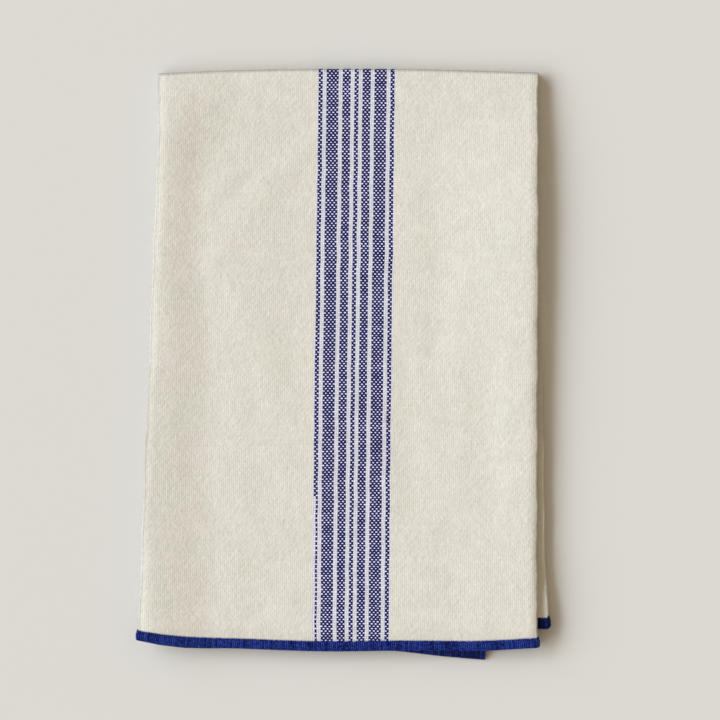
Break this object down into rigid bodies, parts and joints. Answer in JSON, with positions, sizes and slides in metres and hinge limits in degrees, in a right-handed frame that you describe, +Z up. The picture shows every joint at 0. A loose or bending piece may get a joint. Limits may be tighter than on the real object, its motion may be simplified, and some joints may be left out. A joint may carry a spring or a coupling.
{
  "type": "folded kitchen towel",
  "caption": "Cotton kitchen towel folded in thirds and then in half, cream with a band of indigo stripes down its middle and blue overcast edging on its short ends.",
  "frame": {"origin": "middle of the folded towel's outline, on the surface that it lies on", "axes": "+X across the folded towel, +Y along the stripes from the open hemmed end to the top fold, +Z up out of the face that shows"},
  "size_m": [0.2636, 0.3757, 0.0114],
  "materials": {
    "cloth": "plain-woven cream cotton with indigo warp stripes",
    "edging": "royal blue overcast thread"
  },
  "bodies": {
    "root": {"cloth": "cloth", "edging_front": "edging", "edging_back": "edging"}
  },
  "joints": []
}
